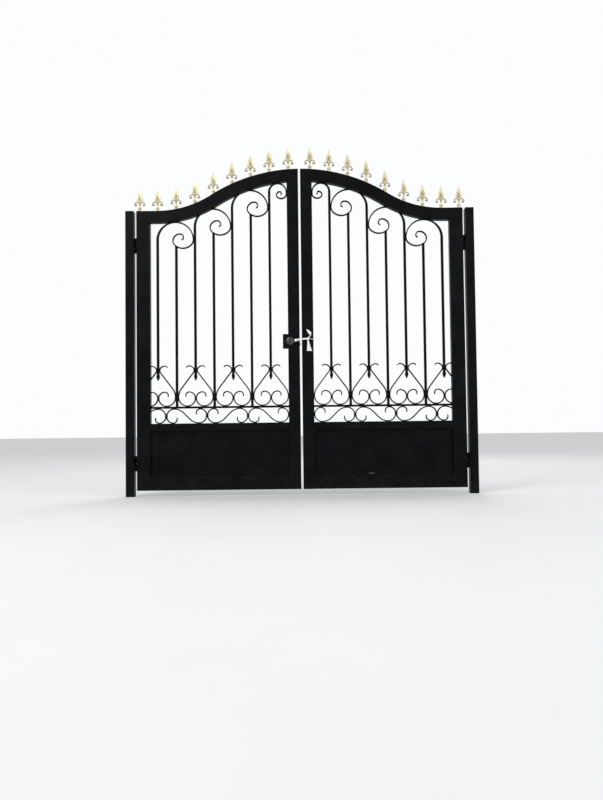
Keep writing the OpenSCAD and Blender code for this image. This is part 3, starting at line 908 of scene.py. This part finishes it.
def post_welds():
    """Cap seams and hinge plate welds on both posts."""
    bm = bmesh.new()
    half, y = POST_W / 2 - 0.4, POST_W / 2 + 0.6
    middle, cap_z = POST_U + POST_W / 2, POST_H - 3.5
    corners = [(-half, -half), (half, -half), (half, half), (-half, half)]
    for side in SIDES.values():
        part = bmesh.new()
        for a, b in zip(corners, corners[1:] + corners[:1]):
            bead(part, (middle + a[0], a[1], cap_z), (middle + b[0], b[1], cap_z), CAP_WELD)
        for z in HINGE_Z:
            for h in (z - 0.5 - KNUCKLE_H, z - 0.5):
                bead(part, (POST_U + 4, y, h), (AXIS_U + 41, y, h), PLATE_WELD)
            bead(part, (AXIS_U + 42, y, z - 42), (AXIS_U + 42, y, z - 4), PLATE_WELD)
        part.transform(Matrix.Diagonal((side, 1, 1, 1)))
        add_mesh(bm, part)
    return bm


# ---------- lock furniture ----------

# Turned shapes: rows of (radius, height).
ROSE = [(0.1, 0), (23.6, 0), (24, 0.5), (24, 3.4), (23.5, 4.6), (22.4, 5.5), (20.8, 5.9),
        (20.2, 6.3), (19.6, 7.2), (18.6, 7.8), (16, 8), (13.2, 8), (12.6, 7.5), (11.4, 7.5),
        (10.8, 8), (0.1, 8)]
SCREW = [(0.1, 0), (3.0, 0), (2.9, 0.7), (2.0, 1.1), (0.7, 1.1), (0.5, 0.5), (0.1, 0.5)]
SCREW_AT = 10.8
NECK = [(0.1, 0), (10.6, 0), (11, 0.6), (11, 2.6), (10.2, 3.8), (8.8, 5.4), (8.2, 9), (8.3, 13),
        (9.2, 16), (10.4, 18)]
# The neck's rounded end, with heights from the grip's middle.
NECK_END = [(11, -3), (11.2, 0), (10.9, 2.4), (9.6, 4.2), (7.4, 5.3), (4, 5.9), (0.1, 6)]
# The waist between neck and grip: rows of (distance along it, half height, half depth).
WAIST = [(5, 6.5, 4.6), (10, 6.4, 4.5), (14, 6.0, 4.2), (18, 5.8, 4.1), (22, 6.1, 4.3),
         (28, 6.6, 4.6)]
# How far the lever rises in degrees; where its grip starts, the grip's half height at its root
# and its tip, and how far it lies below the spindle's line.
RISE, GRIP_S, GRIP_R, GRIP_TIP, GRIP_SAG = 8.0, 23.0, 10.2, 6.4, 5.5


def rose_of(face):
    """A stepped round plate with two screws, on the front (face -1) or the back (face 1)."""
    bm = bmesh.new()
    out = Vector((0, face, 0))
    foot = Vector((SPINDLE_U, face * FRAME_D / 2, SPINDLE_Z))
    lathe(bm, ROSE, foot, out, sides=48)
    for s in (-1, 1):
        head = foot + Vector((s * SCREW_AT, 0, s * SCREW_AT)) + out * 7.6
        lathe(bm, SCREW, head, out, sides=16)
    return bm


def lever_axes(face):
    """Directions out of the face, along the lever and across it, and a point of its axis."""
    out = Vector((0, face, 0))
    along = Vector((-cosd(RISE), 0, sind(RISE)))
    across = Vector((sind(RISE), 0, cosd(RISE)))
    return out, along, across, Vector((SPINDLE_U, 0, SPINDLE_Z))


def oval(half, belly):
    """A soft-cornered oval as points round its edge."""
    return [(math.copysign(abs(c) ** 0.8, c) * half, math.copysign(abs(s) ** 0.8, s) * belly)
            for c, s in circle(24)]


def neck_of(face):
    """A turned neck with a rounded end, and the waist that carries the grip."""
    bm = bmesh.new()
    out, along, across, axis = lever_axes(face)
    hub = FRAME_D / 2 + ROSE_T + 0.5
    reach = LEVER_Y - hub
    lathe(bm, NECK + [(r, reach + h) for r, h in NECK_END], axis + out * hub, out, sides=40)
    rings = []
    for s, h, b in WAIST:
        sag = across * (GRIP_SAG * min(1.0, s / GRIP_S))
        centre = axis + out * LEVER_Y + along * s - sag
        rings.append(ring(bm, centre, across, out, oval(h, b)))
    loft(bm, rings)
    return bm


def grip_of(face):
    """A tapered grip, thick and round at its root, that rises a little to its rounded tip."""
    bm = bmesh.new()
    out, along, across, axis = lever_axes(face)
    root = axis + out * LEVER_Y
    long = LEVER_L - GRIP_S
    rings, count = [], 40
    for k in range(count + 1):
        s = 0.06 + (long - 0.12) * (1 - math.cos(math.pi * k / count)) / 2
        start = math.sqrt(1 - (1 - min(1.0, s / 6.5)) ** 2)
        end = math.sqrt(1 - (1 - min(1.0, (long - s) / 5.5)) ** 2)
        body = GRIP_R + (GRIP_TIP - GRIP_R) * (s / long) ** 0.8
        h = max(0.3, body * min(start, end))
        b = max(0.3, (6.0 - 0.7 * s / long) * min(start, end))
        sag = across * (GRIP_SAG * (1 - 0.4 * s / long))
        rings.append(ring(bm, root + along * (GRIP_S + s) - sag, across, out, oval(h, b)))
    loft(bm, rings)
    return bm


# ---------- the white tape ----------

TAPE_T = 1.1
KNOT = Vector((STRIP_U, -FRAME_D / 2 - 4.2, STRIP_Z))
WRAP_TILT = 38
# The upper tail: rows of (x, z) from the knot, and the width there.
UPPER_TAIL = [(0, 3, 6), (5, 8, 6.2), (10, 14, 6.6), (14.5, 19.5, 8), (16.5, 24, 11.5),
              (14.5, 29, 15), (10.5, 34, 16.5), (5.5, 40, 14.5), (0.5, 46, 10.5), (-4.5, 51.5, 6),
              (-8.5, 55.5, 2)]


def ribbon(bm, centres, across, faces, widths, pleat, folds, cells, loop=False):
    """A flat tape: centres, the direction across it and the direction it faces, at each station.

    Its pleats are pleat high, folds of them across its width, which has that many cells."""
    rings = []
    for p, a, f, w in zip(centres, across, faces, widths):
        front, back = [], []
        for j in range(cells + 1):
            t = j / cells - 0.5
            wave = pleat * math.cos(2 * math.pi * folds * t) * (w / max(widths))
            at = p + a * (t * w) + f * wave
            front.append(bm.verts.new(at + f * TAPE_T / 2))
            back.append(bm.verts.new(at - f * TAPE_T / 2))
        rings.append(front + back[::-1])
    loft(bm, rings, loop=loop)


def tape_band(bm):
    """The band round the stile, pulled up towards the knot and narrower to its right."""
    mid = (MEET_U + EDGE_U) / 2
    outline = rounded(2 * ((MEET_U - EDGE_U) / 2 + TAPE_T), 2 * (FRAME_D / 2 + TAPE_T), 3.0, n=4)
    dense = []
    for (a0, b0), (a1, b1) in zip(outline, outline[1:] + outline[:1]):
        steps = max(1, int(math.hypot(a1 - a0, b1 - b0) / 5))
        dense += [(a0 + (a1 - a0) * k / steps, b0 + (b1 - b0) * k / steps) for k in range(steps)]
    centres, faces, widths = [], [], []
    for i, (a, b) in enumerate(dense):
        a2, b2 = dense[(i + 1) % len(dense)]
        a0, b0 = dense[i - 1]
        t = Vector((a2 - a0, b2 - b0, 0)).normalized()
        sag = 1.6 * noise.noise(Vector((a / 18, b / 18, 0.3)))
        pull = 3.0 * max(0.0, 1 - abs(mid + a - STRIP_U) / 30) if b < 0 else 0.0
        centres.append(Vector((mid + a, b, STRIP_Z + sag + pull - 1.5)))
        faces.append(Vector((t.y, -t.x, 0)))
        width = 9.5 + 1.5 * noise.noise(Vector((i * 0.21, 4.2, 0)))
        if b < -FRAME_D / 2 and mid + a > STRIP_U:
            width -= 3.6 * min(1.0, (mid + a - STRIP_U) / 8)
        widths.append(width)
    ribbon(bm, centres, [UP] * len(dense), faces, widths, pleat=0.5, folds=2, cells=8, loop=True)


def tape_knot(bm):
    """The knot: a grooved lump with one turn of the tape round it."""
    for v in bmesh.ops.create_icosphere(bm, subdivisions=4, radius=1.0)["verts"]:
        p = v.co.copy()
        groove = 0.1 * math.sin(9 * (p.x * 0.7 + p.z * 0.7) + 2.2 * math.sin(3 * p.x))
        swell = 1 + groove + 0.08 * noise.noise(p * 2.3)
        v.co = Vector((p.x * 7.6, p.y * 4.2, p.z * 6.8)) * swell
        v.co += KNOT
    count = 24
    turns = [Vector((s * cosd(WRAP_TILT), -c, s * sind(WRAP_TILT))) for c, s in circle(count)]
    ribbon(bm, [KNOT + Vector((n.x * 7.4, n.y * 4.3, n.z * 7.4)) for n in turns],
           [Vector((-sind(WRAP_TILT), 0, cosd(WRAP_TILT)))] * count,
           [n.normalized() for n in turns], [5.5] * count,
           pleat=0.35, folds=1, cells=6, loop=True)


def lower_tail(bm):
    """The lower tail hangs from the knot and spreads to a torn, pleated end."""
    rows, cells = 26, 24
    layers = []
    for k in range(rows + 1):
        t = k / rows
        left = -3.2 - 4.8 * t ** 1.6
        right = 3.2 + 20.5 * t ** 1.25
        front, back = [], []
        for j in range(cells + 1):
            s = j / cells
            fold = (2.3 * t + 0.9) * math.sin(2 * math.pi * (2.6 * s + 0.12)) * (0.55 + 0.45 * t)
            torn = 1.8 * noise.noise(Vector((s * 9, 7.7, 0))) if k == rows else 0.0
            at = KNOT + Vector((left + (right - left) * s, -0.6 - 1.4 * t - fold * 0.8,
                                -3 - 69 * t + torn + 1.2 * math.sin(3 * s) * t))
            front.append(bm.verts.new(at - DEEP * TAPE_T / 2))
            back.append(bm.verts.new(at + DEEP * TAPE_T / 2))
        layers.append(front + back[::-1])
    loft(bm, layers)


def smooth_line(line, steps):
    """A smooth curve through rows of numbers, with that many steps from row to row."""
    out, last = [], len(line) - 1
    for i in range(last):
        rows = line[max(i - 1, 0)], line[i], line[i + 1], line[min(i + 2, last)]
        for q in range(steps):
            t = q / steps
            out.append(tuple(0.5 * (2 * b + (c - a) * t + (2 * a - 5 * b + 4 * c - d) * t ** 2
                                    + (3 * b - a - 3 * c + d) * t ** 3)
                             for a, b, c, d in zip(*rows)))
    return out + [line[-1]]


def upper_tail(bm):
    """The upper tail leans right, folds over and ends in a point up to the left."""
    fine = smooth_line(UPPER_TAIL, 5)
    last = len(fine) - 1
    centres, across, faces, widths = [], [], [], []
    for i, (x, z, width) in enumerate(fine):
        x2, z2, _ = fine[min(i + 1, last)]
        x0, z0, _ = fine[max(i - 1, 0)]
        t = i / last
        ahead = Vector((x2 - x0, 0, z2 - z0)).normalized()
        side = Vector((-ahead.z, 0, ahead.x))
        twist = 62 * math.exp(-((t - 0.38) / 0.14) ** 2)
        centres.append(KNOT + Vector((x, -0.2 - 2.6 * math.sin(math.pi * t), z)))
        across.append(side * cosd(twist) - DEEP * sind(twist))
        faces.append(-DEEP * cosd(twist) - side * sind(twist))
        widths.append(max(width, 1.5))
    ribbon(bm, centres, across, faces, widths, pleat=1.0, folds=1, cells=10)


def tape():
    """A strip of white cloth round the stile, with its knot and two tails."""
    bm = bmesh.new()
    for part in (tape_band, tape_knot, lower_tail, upper_tail):
        part(bm)
    return bm


# ---------- the pieces ----------

# For each leaf: the piece, what builds it, its slot, and the CAD node that it replaces.
LEAF_PIECES = [("grille_bars", bars_of, "black_paint", "bars"),
               ("lyres", lyres_of, "black_paint", "lyre_scrolls"),
               ("band_of_scrolls", band_of, "black_paint", "band_scrolls"),
               ("collars", collars_of, "black_paint", "scroll_collars"),
               ("panel_sheet", panel_of, "black_paint", "kick_panel"),
               ("spear_finials", finials_of, "gold_paint", "finials"),
               ("frame_welds", frame_welds_of, "black_paint", None)]
for word, side in SIDES.items():
    for stem, build, slot, node in LEAF_PIECES:
        piece(f"{stem}_{word}", build(side), f"{word}_leaf", MATERIALS[slot],
              [f"{node}_{word}"] if node else [], side)
piece("post_welds", post_welds(), "posts", MATERIALS["black_paint"])
for word, face in (("front", -1), ("back", 1)):
    piece(f"round_rose_{word}", rose_of(face), "left_leaf", RUBBED_AND_HIGHLIT,
          [f"rose_{word}"], SIDES["left"])
    piece(f"handle_{word}", grip_of(face), "lever", MATERIALS["polished_steel"],
          [f"lever_{word}"], SIDES["left"], smooth=50)
    piece(f"handle_neck_{word}", neck_of(face), "lever", RUBBED_AND_HIGHLIT, (), SIDES["left"])
strip = piece("white_tape", tape(), "right_leaf", MATERIALS["white_cloth"],
              ["tie_strip"], smooth=60, weighted=False)


# ---------- camera, floor and light ----------

# The photograph's camera: its place, its focal length and its frame's height in pixels, and in
# degrees how far it looks up and how far it is rolled.
CAMERA_AT = (MIDDLE_X * MM, -4.22, 0.394)
FOCAL_PX, FRAME_H_PX, LOOK_UP, ROLL = 722.0, 800, 2.15, 0.65

camera = bpy.data.cameras.new("camera")
camera.sensor_fit = "AUTO"
camera.sensor_width = 36.0
camera.lens = FOCAL_PX / FRAME_H_PX * camera.sensor_width
view = in_scene("camera", camera)
turn = (Matrix.Rotation(math.radians(90 + LOOK_UP), 4, "X")
        @ Matrix.Rotation(math.radians(-ROLL), 4, "Z"))
view.matrix_world = Matrix.Translation(CAMERA_AT) @ turn
bpy.context.scene.camera = view

n = Nodes("floor")
n.surface(base_color=n.mix(n.noise(3.0), rgb(0.82, 0.82, 0.81), rgb(0.86, 0.86, 0.85)),
          roughness=0.9)
mesh = bpy.data.meshes.new("floor")
mesh.from_pydata([(-30, -30, 0), (32, -30, 0), (32, 30, 0), (-30, 30, 0)], [], [(0, 1, 2, 3)])
mesh.materials.append(n.material)
in_scene("floor", mesh)

# The world is white where the camera sees it, in metal and through glass, and dimmer as a light.
WORLD_COLOUR, WORLD_LIGHT, WORLD_SEEN = (0.97, 0.98, 1.0, 1), 0.70, 1.0
world = bpy.data.worlds.new("studio")
world.use_nodes = True
tree = world.node_tree
light_path = tree.nodes.new("ShaderNodeLightPath")
seen = light_path.outputs["Is Camera Ray"]
for ray in ("Is Glossy Ray", "Is Transmission Ray"):
    either = tree.nodes.new("ShaderNodeMath")
    either.operation = "MAXIMUM"
    tree.links.new(seen, either.inputs[0])
    tree.links.new(light_path.outputs[ray], either.inputs[1])
    seen = either.outputs[0]
strength = tree.nodes.new("ShaderNodeMapRange")
strength.inputs[3].default_value = WORLD_LIGHT
strength.inputs[4].default_value = WORLD_SEEN
tree.links.new(seen, strength.inputs[0])
tree.links.new(strength.outputs[0], tree.nodes["Background"].inputs["Strength"])
tree.nodes["Background"].inputs["Color"].default_value = WORLD_COLOUR
bpy.context.scene.world = world


def lamp(name, at, aim, size, watts):
    """A round soft lamp at a place, turned towards aim."""
    data = bpy.data.lights.new(name, "AREA")
    data.shape = "DISK"
    data.size = size
    data.energy = watts
    turn = (Vector(aim) - Vector(at)).to_track_quat("-Z", "Y").to_matrix().to_4x4()
    in_scene(name, data).matrix_world = Matrix.Translation(at) @ turn


lamp("key", (-1.8, -4.0, 4.2), (1.0, 0.0, 1.0), 2.4, 118)
lamp("fill", (4.6, -3.2, 2.4), (1.0, 0.0, 1.0), 2.6, 32)
lamp("rim", (2.2, 4.2, 4.0), (1.0, 0.0, 1.2), 2.2, 60)

bpy.context.scene.view_settings.view_transform = "Standard"
